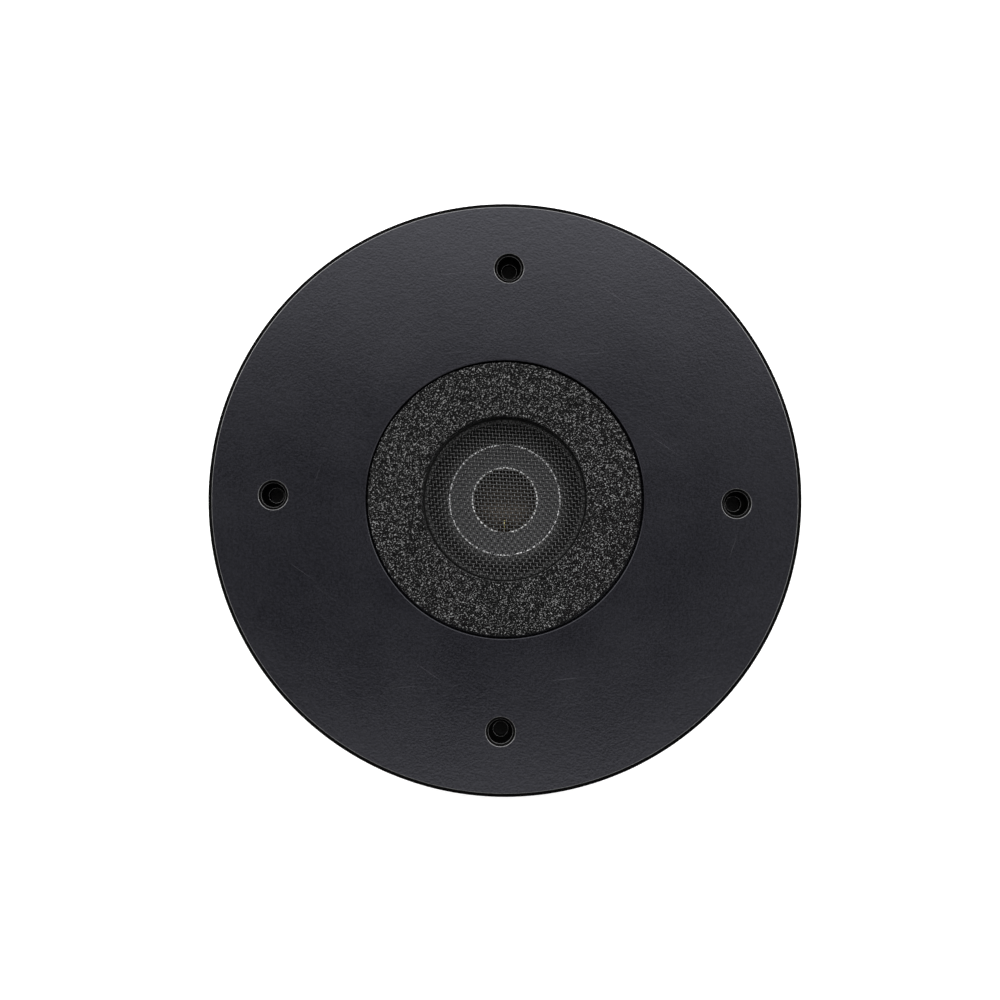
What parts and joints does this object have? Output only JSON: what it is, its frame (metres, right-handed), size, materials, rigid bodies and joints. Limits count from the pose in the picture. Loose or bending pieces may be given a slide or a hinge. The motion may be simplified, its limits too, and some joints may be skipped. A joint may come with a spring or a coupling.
{
  "type": "tweeter",
  "caption": "Round black tweeter: an inverted dome behind a bulged wire-mesh grille in a foam ring, on a flat faceplate with counterbored mounting holes and a ferrite motor behind.",
  "frame": {"origin": "centre of the motor's rear face, with the tweeter lying on its back", "axes": "+Z is the way the sound leaves; the terminals are on -Y; the mounting holes are on X and Y"},
  "size_m": [0.13, 0.13, 0.036],
  "materials": {
    "black_plate": "black anodised, satin, with a fine grain and faint scratches",
    "black_foam": "open-cell foam, charcoal, coarse grain",
    "gasket_foam": "closed-cell foam, matt black",
    "grille_wire": "plain-woven wire, painted satin black",
    "black_plastic": "moulded, satin black",
    "bright_aluminium": "turned, bright",
    "grey_surround": "soft foam film, matt grey",
    "bronze_dome": "formed metal foil, bronze tint, satin",
    "copper": "enamelled or bare copper",
    "coil_former": "amber polyimide film",
    "felt": "pressed felt, dark grey",
    "zinc_steel": "zinc-plated screws",
    "ferrite": "sintered ferrite, matt charcoal",
    "black_steel": "black-passivated mild steel",
    "phenolic_board": "phenolic laminate, brown",
    "rivet_brass": "plain brass",
    "tinned_brass": "tin-plated brass"
  },
  "bodies": {
    "housing": {"faceplate": "black_plate", "mounting_gasket": "gasket_foam", "assembly_screw_1": "zinc_steel", "assembly_screw_2": "zinc_steel", "assembly_screw_3": "zinc_steel", "assembly_screw_4": "zinc_steel", "foam_ring": "black_foam", "throat_ring": "black_plastic", "grille_mesh": "grille_wire", "grille_ring": "black_plastic", "clamp_ring": "bright_aluminium", "surround": "grey_surround", "diaphragm_frame": "black_plastic", "yoke": "black_steel", "damping_pad": "felt", "magnet": "ferrite", "top_plate": "black_steel", "shorting_ring": "copper", "terminal_board": "phenolic_board", "terminal_positive": "tinned_brass", "terminal_negative": "tinned_brass", "terminal_rivet_positive": "rivet_brass", "terminal_rivet_negative": "rivet_brass", "lead_strip_positive": "copper", "lead_strip_negative": "copper", "lead_flex_positive": "copper", "lead_flex_negative": "copper"},
    "diaphragm": {"inverted_dome": "bronze_dome", "voice_coil_former": "coil_former", "voice_coil": "copper", "coil_tail": "copper"}
  },
  "joints": [
    {"name": "diaphragm_excursion", "type": "slide", "parent": "housing", "child": "diaphragm", "axis": [0, 0, 1], "range_m": [-0.0004, 0.0004], "stiffness_N_per_m": 11000, "deforming": ["surround", "lead_flex_positive", "lead_flex_negative"]}
  ]
}
